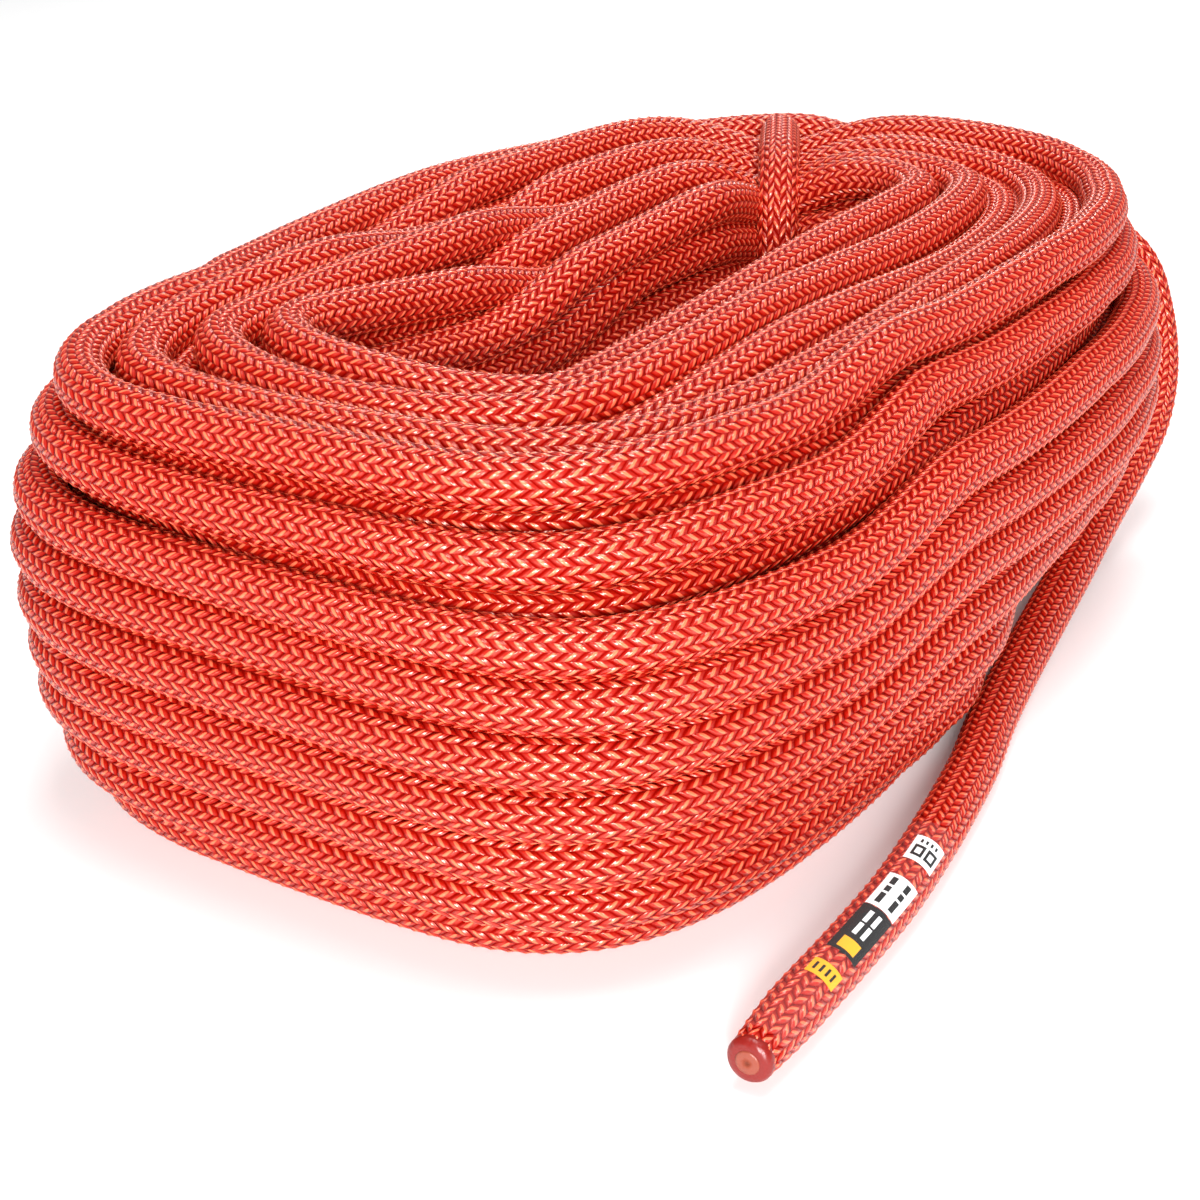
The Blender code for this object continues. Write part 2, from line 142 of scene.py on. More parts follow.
# Distance from an end, and share of the radius there
TIP_TAPER = ((0.0, 0.80), (0.35, 0.86), (0.9, 0.94), (1.5, 1.0))
INNER_TAPER = ((0.0, 0.86), (0.3, 0.96), (0.6, 1.0))

# Ends and labels, distances from the tip in metres as in the solid model
LABELS = (
    ("batch_label", 0.0235, 0.0047, 33.0),
    ("maker_label", 0.0385, 0.0162, 35.0),
    ("standard_label", 0.0529, 0.0120, 35.0),
    ("length_label", 0.0700, 0.0092, 34.0),
)
LABEL_FACES = (0.0, -0.48, 0.88)
LABEL_RADIUS, PRINT_RADIUS, BADGE_RADIUS = 0.540, 0.544, 0.546
LABEL_GRID, MARK_GRID = (10, 14), (3, 4)
SLEEVE_RADIUS, SLEEVE_FROM, SLEEVE_TO = 0.560, 0.0028, 0.0800
SLEEVE_GRID = (60, 40)


def log(*words):
    print("scene:", *words, flush=True)


# Outline of the coil. A place round it is counted in quarters, 0 at +X, 1 at +Y, 2 at -X and 3 at -Y.


def smoothstep(value):
    value = np.clip(value, 0.0, 1.0)
    return value * value * (3.0 - 2.0 * value)


def running_length(points):
    return np.concatenate([[0.0], np.cumsum(np.linalg.norm(np.diff(points, axis=0), axis=1))])


def quarter_points(quarter, angles):
    power = 2.0 / CORNERS[quarter]
    across = np.maximum(np.cos(angles), 0.0) ** power
    along = np.maximum(np.sin(angles), 0.0) ** power
    if quarter % 2:
        across, along = along, across
    signs = (-1.0 if quarter in (1, 2) else 1.0, -1.0 if quarter in (2, 3) else 1.0)
    return np.column_stack([across * signs[0], along * signs[1]])


def measure_quarter(quarter, steps=400):
    angles = np.linspace(0.0, math.pi / 2, steps)
    run = running_length(quarter_points(quarter, angles) * (HALF_LENGTH, HALF_WIDTH))
    return run / run[-1], angles


MEASURES = [measure_quarter(quarter) for quarter in range(4)]


def outer_points(places, z, inset):
    """On the outside of the coil at these places and heights, this far in."""
    places, z = np.atleast_1d(places) % 4.0, np.atleast_1d(z)
    points = np.zeros((len(places), 2))
    for quarter in range(4):
        here = places.astype(int) % 4 == quarter
        run, angles = MEASURES[quarter]
        points[here] = quarter_points(quarter, np.interp(places[here] % 1.0, run, angles))
    height = np.clip(2.0 * z / COIL_HEIGHT - 1.0, -1.0, 1.0)
    swell = 1.0 - height * height
    x = points[:, 0] * (HALF_LENGTH + SWELL_LENGTH * swell - inset)
    y = points[:, 1] * (HALF_WIDTH + SWELL_WIDTH * swell - inset)
    bed = smoothstep((x - BED_START) / BED_RISE) * smoothstep((BED_END - x) / BED_FALL)
    bed = bed * (1.0 - smoothstep((z - BED_TOP) / BED_FADE)) * smoothstep(-y / HALF_WIDTH * 2.0)
    y = np.where(y < 0.0, y + BED_DEPTH * bed, y)
    return np.column_stack([x, y])


def hole_points(places, inset):
    places = np.atleast_1d(places) % 4.0
    quarter, part = places.astype(int) % 4, places % 1.0
    radius = HOLE_RADIUS + inset
    straight = HOLE_HALF_LENGTH - HOLE_RADIUS
    bend = math.pi / 2 * radius
    run = np.where(quarter % 2 == 0, part, 1.0 - part) * (straight + bend)
    angle = np.minimum(run, bend) / radius
    x = straight - np.maximum(run - bend, 0.0) + radius * np.cos(angle)
    y = radius * np.sin(angle)
    x = np.where((quarter == 1) | (quarter == 2), -x, x)
    y = np.where((quarter == 2) | (quarter == 3), -y, y)
    left = 0.5 - 0.5 * x / (straight + radius)
    return np.column_stack([HOLE_X + x, y * (1.0 + HOLE_WIDENING * left) + HOLE_SHIFT * left])


def tie_line():
    out = outer_points(TIE_AT, COIL_HEIGHT / 2, 0.0)[0]
    hole = hole_points(TIE_AT, 0.0)[0]
    width = float(np.linalg.norm(hole - out))
    return out, (hole - out) / width, width


def tie_points(steps=8):
    """The binding turn, from under the coil to its end in the hole."""
    out, inward, width = tie_line()
    margin, corner = TIE_SINK - TIE_ROOM, TIE_CORNER + TIE_ROOM
    left, right, low, top = margin, width - margin, 0.5 + GAP, COIL_HEIGHT - margin
    flat = [(right - TIE_START_RUN, low)]
    for x, z, angle in (
        (left + corner, low + corner, -math.pi / 2),
        (left + corner, top - corner, math.pi),
        (right - corner, top - corner, math.pi / 2),
    ):
        for turn in np.linspace(angle, angle - math.pi / 2, steps + 1):
            flat.append((x + corner * math.cos(turn), z + corner * math.sin(turn)))
    flat.append((right, TIE_END_HEIGHT))
    flat = np.array(flat)
    return np.column_stack([out + inward * flat[:, :1], flat[:, 1]])


def smooth_route(points, spacing, steps=24):
    points = np.array(points, float)
    ends = np.vstack([2 * points[0] - points[1], points, 2 * points[-1] - points[-2]])
    part = np.linspace(0.0, 1.0, steps, endpoint=False)[:, None]
    curve = []
    for a, b, c, d in zip(ends, ends[1:], ends[2:], ends[3:]):
        curve.append(
            0.5 * (2 * b + (c - a) * part + (2 * a - 5 * b + 4 * c - d) * part**2
            + (3 * b - 3 * c + d - a) * part**3)
        )
    curve = np.vstack(curve + [points[-1:]])
    run = running_length(curve)
    even = np.linspace(0.0, run[-1], round(run[-1] / spacing) + 1)
    return np.column_stack([np.interp(even, run, curve[:, axis]) for axis in range(3)])


# The turns of the coil, before they are pressed apart


def winding_order():
    """The (column, row) of each turn, from the hole outwards; columns are wound up and down by turns."""
    order = []
    for column in range(LAST_COLUMN, -1, -1):
        rows = range(COLUMN_ROWS[column])
        order += [(column, row) for row in (reversed(rows) if column % 2 else rows)]
    return order + [(-1, COLUMN_ROWS[0] - 1)]


def near_place(places, middle, width):
    away = (places % 4.0 - middle + 2.0) % 4.0 - 2.0
    return np.exp(-((away / width) ** 2))


def winding_hole(places, z):
    points = hole_points(places, 0.5)
    plus_y = near_place(places, *FUNNEL_SIDE)
    points[:, 1] += plus_y * FUNNEL * (smoothstep((z - FUNNEL_FROM) / FUNNEL_RISE) - FUNNEL_LEVEL)
    return points


def winding_outline(places, z):
    foot = FOOT_INSET * np.clip(1.0 - z / FOOT_HEIGHT, 0.0, 1.0) ** 2
    front = near_place(places, *RIM_FRONT)
    rim = (RIM_INSET + RIM_FRONT_INSET * front) * smoothstep((z - RIM_FROM) / RIM_RISE)
    return outer_points(places, z, 0.5 + foot + rim)


def column_share(column, places):
    """How far in from the outline a column lies, from 0 to 1. The -Y side is shared out unevenly."""
    even = max(column, 0) / LAST_COLUMN
    front = near_place(places, *TOP_FRONT)
    return even + front * (FRONT_SHARES[max(column, 0)] - even)


def top_height(column, places):
    """Height of a column's top turn: the top is domed, and sinks towards the hole on the +Y side."""
    part = max(column, 0) / LAST_COLUMN
    plus_y, end, front = (near_place(places, *stretch) for stretch in (TOP_PLUS_Y, TOP_END, TOP_FRONT))
    high = CREST + DOME * math.sin(math.pi * part) - INNER_DROP * part**3
    inner = smoothstep((part - PLUS_Y_INNER_FROM) / (1.0 - PLUS_Y_INNER_FROM))
    high = high - plus_y * (PLUS_Y_DROP + PLUS_Y_INNER_DROP * inner)
    if column in LOW_COLUMNS:
        high = high - LOW_DROP - LOW_END_DROP * end
        if column in FRONT_LOW_COLUMNS:
            high = high - LOW_SIDE_DROP * front
        high = high - LOW_SIDE_DROP * plus_y
    return high if column >= 0 else high - LAST_TURN_DROP


def turn_points(column, row, places):
    low = LOWEST + ODD_RAISE * (column % 2)
    rows = COLUMN_ROWS[max(column, 0)]
    z = low + (top_height(column, places) - low) * row / (rows - 1)
    if column == 0:
        here = outer_points(places, z, 0.5)
        up, down = (np.exp(-(((here[:, 0] + at) / spread) ** 2)) for at, spread in (WAVE_UP, WAVE_DOWN))
        wave = up - down
        z = z + (here[:, 1] < 0.0) * WAVE_HEIGHT * wave * smoothstep((row - 1.0) / WAVE_ROWS)
    out = winding_outline(places, z)
    hole = winding_hole(places, z)
    width = np.linalg.norm(out - hole, axis=1)
    even = np.full(len(places), column / LAST_COLUMN if column >= 0 else -LAST_TURN_OUT / width.mean())
    near_top = smoothstep((z - SHARES_FROM) / SHARES_RISE)
    part = even + near_top * (column >= 0) * (column_share(column, places) - even)
    # The tie draws the turns together.
    squeeze = near_place(places, *TIE_SQUEEZE)
    part = 0.5 + (part - 0.5) * (1.0 - squeeze * 2.0 * TIE_SINK / width)
    share = (z - LOWEST) / COIL_AXES_HEIGHT
    z = z + squeeze * (TIE_LIFT * (1.0 - share) - TIE_SINK * share)
    return np.column_stack([out + (hole - out) * part[:, None], z])


def wound_line(random):
    """The line of the wound turns before they are pressed apart, and each node's column and row."""
    order = winding_order()
    log(len(order), "turns")
    zones = [
        ZONE_PLACE + random.uniform(-ZONE_SPREAD, ZONE_SPREAD) - 4.0 * (number + 1)
        for number in range(len(order) - 2)
    ]
    zones = np.array(zones + [LAST_ZONE - 4.0 * (len(order) - 1)])
    travel = np.arange(WINDING_FROM, WINDING_TO - 4.0 * (len(order) - 1), -WINDING_STEP)
    passed = np.searchsorted(-zones, -travel)  # zones whose middle lies behind each node
    near = np.clip(passed, 0, len(zones) - 1)
    before = np.clip(passed - 1, 0, len(zones) - 1)
    pick = np.where(np.abs(zones[near] - travel) < np.abs(zones[before] - travel), near, before)
    ease = smoothstep((zones[pick] - travel) / (2.0 * ZONE_HALF) + 0.5)
    line = np.zeros((len(travel), 3))
    kinds = np.zeros((len(travel), 2))
    for number in range(len(zones)):
        here = np.nonzero(pick == number)[0]
        places = travel[here]
        first, second = (turn_points(*order[number + step], places) for step in (0, 1))
        line[here] = first + (second - first) * ease[here, None]
        kinds[here] = np.where(ease[here, None] < 0.5, order[number], order[number + 1])
    return line, kinds, travel


def respaced(line, extras, spacing):
    run = running_length(line)
    even = np.linspace(0.0, run[-1], round(run[-1] / spacing) + 1)
    points = np.column_stack([np.interp(even, run, line[:, axis]) for axis in range(3)])
    nearest = np.clip(np.searchsorted(run, even), 0, len(run) - 1)
    return points, [extra[nearest] for extra in extras]


def smooth_noise(count, length, random):
    knots = random.normal(size=(int(count / length) + 4, 3))
    at = np.arange(count) / length
    index = at.astype(int)
    part = smoothstep(at - index)[:, None]
    return knots[index] * (1.0 - part) + knots[index + 1] * part


def contact_pairs(points, apart=6):
    tree = kdtree.KDTree(len(points))
    for index, point in enumerate(points):
        tree.insert(point, index)
    tree.balance()
    pairs = []
    for index, point in enumerate(points):
        for _, other, _ in tree.find_range(point, SEARCH_REACH):
            if abs(other - index) > apart:
                pairs.append((index, other))
    return np.array(pairs)


def push_apart(points, fixed, kinds, travel):
    """Presses the turns apart in rounds, and smooths what that does to them along the rope."""
    start = points.copy()
    count = len(points)
    free = (~fixed).astype(float)[:, None]
    outermost = kinds[:, 0] == 0
    top = points[:, 2] + HIGHEST_LIFT
    for round_number in range(ROUNDS):
        if round_number % ROUNDS_PER_SEARCH == 0:
            pairs = contact_pairs(points)
            first, second = pairs[:, 0], pairs[:, 1]
            after = np.minimum(second + 1, count - 1)
            before = np.maximum(second - 1, 0)
        best = None
        for a, b in ((points[before], points[second]), (points[second], points[after])):
            along = b - a
            part = ((points[first] - a) * along).sum(1) / np.maximum((along * along).sum(1), 1e-9)
            offset = points[first] - a - np.clip(part, 0.0, 1.0)[:, None] * along
            distance = np.linalg.norm(offset, axis=1)
            if best is None:
                best, shortest = offset, distance
            else:
                closer = distance < shortest
                best = np.where(closer[:, None], offset, best)
                shortest = np.minimum(distance, shortest)
        deep = shortest < TOUCHING
        push = best[deep] / np.maximum(shortest[deep], 1e-6)[:, None] * (TOUCHING - shortest[deep])[:, None]
        total = np.zeros((count, 3))
        for axis in range(3):
            total[:, axis] = np.bincount(first[deep], push[:, axis], count)
            total[:, axis] -= np.bincount(second[deep], push[:, axis], count)
        hits = np.bincount(first[deep], minlength=count) + np.bincount(second[deep], minlength=count)
        points = points + free * PUSH_SHARE * total / np.maximum(hits, 1)[:, None]
        moved = points - start
        for _ in range(SMOOTHINGS):
            moved[1:-1] += free[1:-1] * SMOOTHING * (0.5 * (moved[:-2] + moved[2:]) - moved[1:-1])
        moved *= 1.0 - RETURN * free
        points = start + moved
        points[:, 2] = np.clip(points[:, 2], LOWEST, top)
        points[fixed] = start[fixed]
        limit = winding_outline(travel, points[:, 2]) * OUTLINE_SLACK
        out = limit / np.linalg.norm(limit, axis=1)[:, None]
        over = ((points[:, :2] - limit) * out).sum(1)
        keep = outermost & (over > 0.0) & ~fixed
        points[keep, :2] -= over[keep, None] * out[keep]
    closest, mean = float(shortest.min()), float(np.mean(shortest[deep]))
    log("axes of touching turns: closest", round(closest, 3), "mean", round(mean, 3), "diameters apart")
    return points


def rope_line():
    """The whole rope's axis from its inner end to its outer end, and each node's column, row and place."""
    random = np.random.default_rng(SEED)
    line, kinds, travel = wound_line(random)
    line, (kinds, travel) = respaced(line, (kinds, travel), NODE_SPACING)
    share = np.where(kinds[:, :1] == 0, OUTER_WOBBLE, 1.0)
    line = line + share * WOBBLE * smooth_noise(len(line), WOBBLE_LENGTH / NODE_SPACING, random)
    tie = smooth_route(tie_points()[::-1], NODE_SPACING)
    free_end = smooth_route(FREE_END, NODE_SPACING)
    inward = tie_line()[1]
    under = tie[-1] + np.array((*(inward * UNDER_REACH), 0.0))
    way = [tie[-3], tie[-1], under + UNDER_BEND, line[JOIN_NODE - 2], line[JOIN_NODE + 1]]
    join_in = smooth_route(way, NODE_SPACING)[2:-2]
    join_out = smooth_route([line[-4], line[-1], free_end[0], free_end[3]], NODE_SPACING)
    inside = np.linalg.norm(join_out - line[-1], axis=1).argmin() + 1
    outside = np.linalg.norm(join_out - free_end[0], axis=1).argmin()
    pieces = [tie[:-1], join_in, line[JOIN_NODE:], join_out[inside:outside], free_end]
    points = np.vstack(pieces)
    fixed = np.concatenate([np.full(len(piece), i in (0, 4)) for i, piece in enumerate(pieces)])
    blank = [np.full((len(piece), 2), -1.0) for piece in pieces]
    blank[2] = kinds[JOIN_NODE:]
    places = [np.zeros(len(piece)) for piece in pieces]
    places[2] = travel[JOIN_NODE:]
    return points, fixed, np.vstack(blank), np.concatenate(places)


# Meshes


def transport_frames(points):
    """A direction across the line at each point, turned as little as possible from one to the next."""
    steps = np.diff(points, axis=0)
    steps /= np.linalg.norm(steps, axis=1)[:, None]
    tangents = np.vstack([steps[:1], steps[:-1] + steps[1:], steps[-1:]])
    tangents /= np.linalg.norm(tangents, axis=1)[:, None]
    across = np.zeros_like(points)
    current = np.cross(tangents[0], (0.0, 0.6, 0.8))
    for index, tangent in enumerate(tangents):
        current = current - tangent * float(current @ tangent)
        current = current / math.sqrt(float(current @ current))
        across[index] = current
    return tangents, across, np.cross(tangents, across)


def to_world(points):
    return np.asarray(points) * ROPE + np.array((*COIL_CENTRE, 0.0))


def in_scene(name, mesh):
    made = bpy.data.objects.new(name, mesh)
    bpy.context.scene.collection.objects.link(made)
    return made


def mesh_of(name, verts, faces, uvs=None, kinds=None):
    """A mesh of triangles; uvs has one row for each corner of each triangle."""
    mesh = bpy.data.meshes.new(name)
    mesh.vertices.add(len(verts))
    mesh.vertices.foreach_set("co", to_world(verts).astype(np.float32).ravel())
    mesh.loops.add(len(faces) * 3)
    mesh.loops.foreach_set("vertex_index", np.asarray(faces, np.int32).ravel())
    mesh.polygons.add(len(faces))
    mesh.polygons.foreach_set("loop_start", np.arange(0, len(faces) * 3, 3, dtype=np.int32))
    if kinds is not None:
        mesh.polygons.foreach_set("material_index", np.asarray(kinds, np.int32))
    mesh.update(calc_edges=True)
    if uvs is not None:
        layer = mesh.uv_layers.new(name="Braid")
        layer.data.foreach_set("uv", np.asarray(uvs, np.float32).ravel())
    mesh.shade_smooth()
    return mesh


def tube_faces(rings, sides, u_step, v_of_ring):
    """Triangles between successive rings of vertices, split along the floats, with their corners' uvs."""
    k, j = np.meshgrid(np.arange(rings - 1), np.arange(sides), indexing="ij")
    after = (j + 1) % sides
    a, b, c, d = k * sides + j, k * sides + after, (k + 1) * sides + after, (k + 1) * sides + j
    u_a, u_b = j * u_step, (j + 1) * u_step
    v_a, v_b = v_of_ring[k], v_of_ring[k] + (v_of_ring[1] - v_of_ring[0])
    corners = {
        "a": (a, u_a, v_a),
        "b": (b, u_b, v_a),
        "c": (c, u_b, v_b),
        "d": (d, u_a, v_b),
    }
    leaning = ((j // 2) % 2 == 0)[..., None]

    def pick(names, which):
        return np.stack([corners[name][which] for name in names], -1)

    faces, us, vs = (
        np.stack(
            [
                np.where(leaning, pick("abc", which), pick("abd", which)),
                np.where(leaning, pick("acd", which), pick("bcd", which)),
            ],
            axis=2,
        ).reshape(-1, 3)
        for which in range(3)
    )
    return faces, np.stack([us, vs], -1).reshape(-1, 2)


def along_taper(distance, taper):
    return np.interp(distance, [at for at, _ in taper], [share for _, share in taper])


def seen_nodes(kinds):
    """Which nodes of the line lie where they can be seen: all but the inner columns' lower turns."""
    rows = np.array(COLUMN_ROWS)[np.clip(kinds[:, 0], 0, LAST_COLUMN).astype(int)]
    seen = (kinds[:, 0] <= 0) | (kinds[:, 1] >= rows - 1)
    seen |= (kinds[:, 0] == LAST_COLUMN) & (kinds[:, 1] >= HOLE_SEEN_FROM)
    return np.convolve(seen, np.ones(SEEN_MARGIN), "same") > 0


def braid_count(rings):
    """How far along the braid each ring lies, in pitches. It starts again at a wrap, to stay small."""
    if rings[0] // RING_WRAP == rings[-1] // RING_WRAP:
        rings = rings % RING_WRAP
    return rings * 0.5 + 0.25


def rope_mesh(line, seen):
    """The braided rope: fine rings where it can be seen, and plain ones deep in the coil."""
    _, across, other = transport_frames(line)
    run = running_length(line)
    share = along_taper(run, INNER_TAPER) * along_taper(run[-1] - run, TIP_TAPER)
    change = np.nonzero(np.diff(seen.astype(int)))[0] + 1
    edges = [0, *(int(at) for at in change), len(line) - 1]
    all_verts, all_faces, all_uvs = [], [], []
    count = 0
    for first, last in zip(edges, edges[1:]):
        fine = bool(seen[first])
        step, skip = (1, 1) if fine else (HIDDEN_STEP, 2)
        rings = np.unique(np.append(np.arange(first, last, step), last))
        sides = SIDES // skip
        j = np.arange(sides) * skip
        angles = j * 2.0 * math.pi / SIDES
        if fine:
            crown = ((j[None] - 1) // 2 % 2 == 0) == (rings[:, None] % 2 == 0)
            radii = np.where(j[None] % 2 == 1, np.where(crown, CROWN, GROOVE), EDGE_LEVEL)
        else:
            radii = np.full((len(rings), sides), HIDDEN_RADIUS)
        radii = (radii * share[rings][:, None])[..., None]
        ring = across[rings, None] * np.cos(angles)[None, :, None]
        ring = ring + other[rings, None] * np.sin(angles)[None, :, None]
        faces, uvs = tube_faces(len(rings), sides, skip / SIDES, braid_count(rings))
        all_verts.append((line[rings, None] + ring * radii).reshape(-1, 3))
        all_faces.append(faces + count)
        all_uvs.append(uvs)
        count += len(rings) * sides
    for number, (end, first) in enumerate(((0, 0), (len(line) - 1, count - SIDES))):
        rim = first + np.arange(SIDES)
        fan = np.stack([np.full(SIDES, count + number), np.roll(rim, -1), rim], -1)
        all_verts.append(line[end][None])
        all_faces.append(fan if end == 0 else fan[:, ::-1])
        all_uvs.append(np.zeros((3 * SIDES, 2)))
    log("rope vertices", count)
    return mesh_of("rope", np.vstack(all_verts), np.vstack(all_faces), np.vstack(all_uvs))


def turned(name, centre, direction, profile, sides=48):
    """A shape turned about a direction: profile has (radius, distance) pairs, and the shape closes only at
    a ring whose radius is nought.
    """
    axis = np.asarray(direction, float) / np.linalg.norm(direction)
    side = np.cross(axis, (0.0, 0.6, 0.8))
    side /= np.linalg.norm(side)
    other = np.cross(axis, side)
    angles = np.arange(sides) * 2.0 * math.pi / sides
    verts = []
    for radius, distance in profile:
        for angle in angles:
            out = math.cos(angle) * side + math.sin(angle) * other
            verts.append(np.asarray(centre) + axis * distance + out * radius)
    faces = []
    for k in range(len(profile) - 1):
        for j in range(sides):
            a, b = k * sides + j, k * sides + (j + 1) % sides
            faces += [(a, b, b + sides), (a, b + sides, a + sides)]
    return in_scene(name, mesh_of(name, np.array(verts), faces))


class FreeEnd:
    """The tail near its tip. Places are a distance from the tip and an angle from the labels' middle."""

    def __init__(self, line):
        self.points = line[::-1]
        self.run = running_length(self.points)
        steps = np.gradient(self.points, axis=0)
        self.forward = steps / np.linalg.norm(steps, axis=1)[:, None]

    def at(self, metres, angle, radius):
        distance = metres / ROPE
        point, forward = (
            np.array([np.interp(distance, self.run, values[:, axis]) for axis in range(3)])
            for values in (self.points, self.forward)
        )
        up = np.array(LABEL_FACES) - forward * float(np.dot(LABEL_FACES, forward))
        up /= np.linalg.norm(up)
        side = np.cross(forward, up)
        return point + radius * (math.cos(angle) * up + math.sin(angle) * side)

    def patch(self, start, end, low, high, radius, steps, sides):
        """A piece of the rope's round surface, as vertices and faces."""
        verts = [
            self.at(metres, angle, radius)
            for metres in np.linspace(start, end, steps + 1)
            for angle in np.linspace(low, high, sides + 1)
        ]
        faces = []
        for k in range(steps):
            for j in range(sides):
                a = k * (sides + 1) + j
                faces += [(a, a + sides + 1, a + sides + 2), (a, a + sides + 2, a + 1)]
        return verts, faces


def material(name, colour, roughness, **more):
    made = bpy.data.materials.new(name)
    made.use_nodes = True
    shader = made.node_tree.nodes["Principled BSDF"]
    shader.inputs["Base Color"].default_value = (*colour, 1.0)
    shader.inputs["Roughness"].default_value = roughness
    for key, value in more.items():
        shader.inputs[key.replace("_", " ")].default_value = value
    return made


class Nodes:
    """Short ways to add nodes to a material."""

    def __init__(self, made):
        self.tree = made.node_tree
        self.shader = self.tree.nodes["Principled BSDF"]

    def add(self, kind, **settings):
        node = self.tree.nodes.new(kind)
        for key, value in settings.items():
            setattr(node, key, value)
        return node

    def feed(self, socket, value):
        if isinstance(value, bpy.types.NodeSocket):
            self.tree.links.new(value, socket)
        else:
            socket.default_value = value

    def math(self, operation, *values):
        node = self.add("ShaderNodeMath", operation=operation)
        for socket, value in zip(node.inputs, values):
            self.feed(socket, value)
        return node.outputs[0]

    def blend(self, amount, first, second):
        node = self.add("ShaderNodeMix", data_type="RGBA")
        self.feed(node.inputs["Factor"], amount)
        self.feed(node.inputs["A"], first)
        self.feed(node.inputs["B"], second)
        return node.outputs["Result"]

    def noise(self, scale, detail=2.0):
        place = self.add("ShaderNodeTexCoord").outputs["Object"]
        node = self.add("ShaderNodeTexNoise")
        self.feed(node.inputs["Vector"], place)
        self.feed(node.inputs["Scale"], scale)
        self.feed(node.inputs["Detail"], detail)
        return node.outputs["Fac"]

    def bump(self, height, distance, strength):
        node = self.add("ShaderNodeBump")
        self.feed(node.inputs["Height"], height)
        self.feed(node.inputs["Distance"], distance)
        self.feed(node.inputs["Strength"], strength)
        self.feed(self.shader.inputs["Normal"], node.outputs["Normal"])


SHEATH_RED = (0.38, 0.004, 0.001)
SHEATH_LIGHT = (0.52, 0.009, 0.001)
# Painted highlight: a pale orange laid along the middle line of each float, standing for the glints there.
SHEATH_CREST_GLINT = (1.00, 0.170, 0.075)
# Painted shade: the dark red laid in the gaps between the floats.
SHEATH_GAP_SHADE = (0.29, 0.002, 0.001)
SHEATH_TINT = (1.0, 0.78, 0.64, 1.0)
SHEATH_GLOSS = 0.95
THREAD_WAVES, THREAD_RISE = 4.0, 0.04  # filament bundles across a float
FLOAT_ENDS_SINK = 0.55
# How narrow the painted highlight along each float is.
GLINT_NARROWNESS = 6.5
BRAID_RELIEF = 0.0006  # metres


def sheath_material():
    """A herringbone of glossy floats, in the braid's own coordinates, with a painted highlight along the
    middle of each float and painted shade in the gaps between floats.
    """
    made = material(
        "sheath", SHEATH_RED, 0.30, IOR=1.6, Specular_IOR_Level=SHEATH_GLOSS, Specular_Tint=SHEATH_TINT
    )
    nodes = Nodes(made)
    parts = nodes.add("ShaderNodeSeparateXYZ")
    nodes.feed(parts.inputs[0], nodes.add("ShaderNodeUVMap", uv_map="Braid").outputs[0])
    u, v = parts.outputs[0], parts.outputs[1]
    rows = nodes.math("MULTIPLY", u, float(BRAID_ROWS))
    in_row = nodes.math("SUBTRACT", nodes.math("FRACT", rows), 0.5)
    leaning = nodes.math("MODULO", nodes.math("FLOOR", rows), 2.0)
    slant = nodes.math("MULTIPLY", in_row, nodes.math("SUBTRACT", 0.5, leaning))
    phase = nodes.math("SUBTRACT", nodes.math("SUBTRACT", v, nodes.math("MULTIPLY", leaning, 0.5)), slant)
    beside = nodes.math("SUBTRACT", nodes.math("FRACT", nodes.math("ADD", phase, 0.25)), 0.5)
    spread = nodes.math("POWER", nodes.math("ABSOLUTE", nodes.math("MULTIPLY", beside, 2.0)), 2.0)
    ends = nodes.math("POWER", nodes.math("ABSOLUTE", nodes.math("MULTIPLY", in_row, 2.0)), 2.0)
    rounded = nodes.math("SUBTRACT", 1.0, nodes.math("MULTIPLY", ends, FLOAT_ENDS_SINK))
    rise = nodes.math("MULTIPLY", nodes.math("SUBTRACT", 1.0, spread), rounded)
    threads = nodes.math("SINE", nodes.math("MULTIPLY", beside, 2.0 * THREAD_WAVES * math.pi))
    # How far a point stands up on its float; this sets where the painted shade of the gaps gives way to the
    # floats' colour, and how glossy the sheath is.
    full = nodes.add("ShaderNodeMapRange", interpolation_type="SMOOTHSTEP")
    nodes.feed(full.inputs["Value"], rise)
    nodes.feed(full.inputs["From Max"], 0.75)
    patchy = nodes.math("MULTIPLY", nodes.noise(120.0), 0.6)
    worn = nodes.math("MULTIPLY", nodes.noise(14.0), 0.4)
    top = nodes.blend(nodes.math("ADD", patchy, worn), (*SHEATH_RED, 1), (*SHEATH_LIGHT, 1))
    # Painted highlight: a narrow pale band along the middle line of each float, fading towards its ends.
    off_crest = nodes.math("MULTIPLY", beside, GLINT_NARROWNESS)
    ridge = nodes.math("POWER", nodes.math("ABSOLUTE", off_crest), 2.0)
    ridge = nodes.math("SUBTRACT", 1.0, nodes.math("ADD", ridge, nodes.math("POWER", ends, 2.0)))
    glint_band = nodes.add("ShaderNodeMapRange", interpolation_type="SMOOTHSTEP")
    nodes.feed(glint_band.inputs["Value"], ridge)
    nodes.feed(glint_band.inputs["From Max"], 0.6)
    top = nodes.blend(glint_band.outputs[0], top, (*SHEATH_CREST_GLINT, 1))
    # The gaps between floats get the painted shade, and the floats get the red with its painted highlight.
    nodes.feed(nodes.shader.inputs["Base Color"], nodes.blend(full.outputs[0], (*SHEATH_GAP_SHADE, 1), top))
    gloss = nodes.math("MULTIPLY", full.outputs[0], SHEATH_GLOSS)
    nodes.feed(nodes.shader.inputs["Specular IOR Level"], gloss)
    relief = nodes.math("ADD", rise, nodes.math("MULTIPLY", threads, THREAD_RISE))
    nodes.bump(relief, BRAID_RELIEF, 1.0)
    return made


def melted_material(name, colour):
    made = material(name, colour, 0.35, Subsurface_Weight=0.1, IOR=1.53)
    nodes = Nodes(made)
    nodes.bump(nodes.noise(900.0, 4.0), 0.0004, 0.5)
    return made


def ride(piece, slot, *nodes):
    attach(piece, "root")
    if nodes:
        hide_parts(*nodes)
    return piece


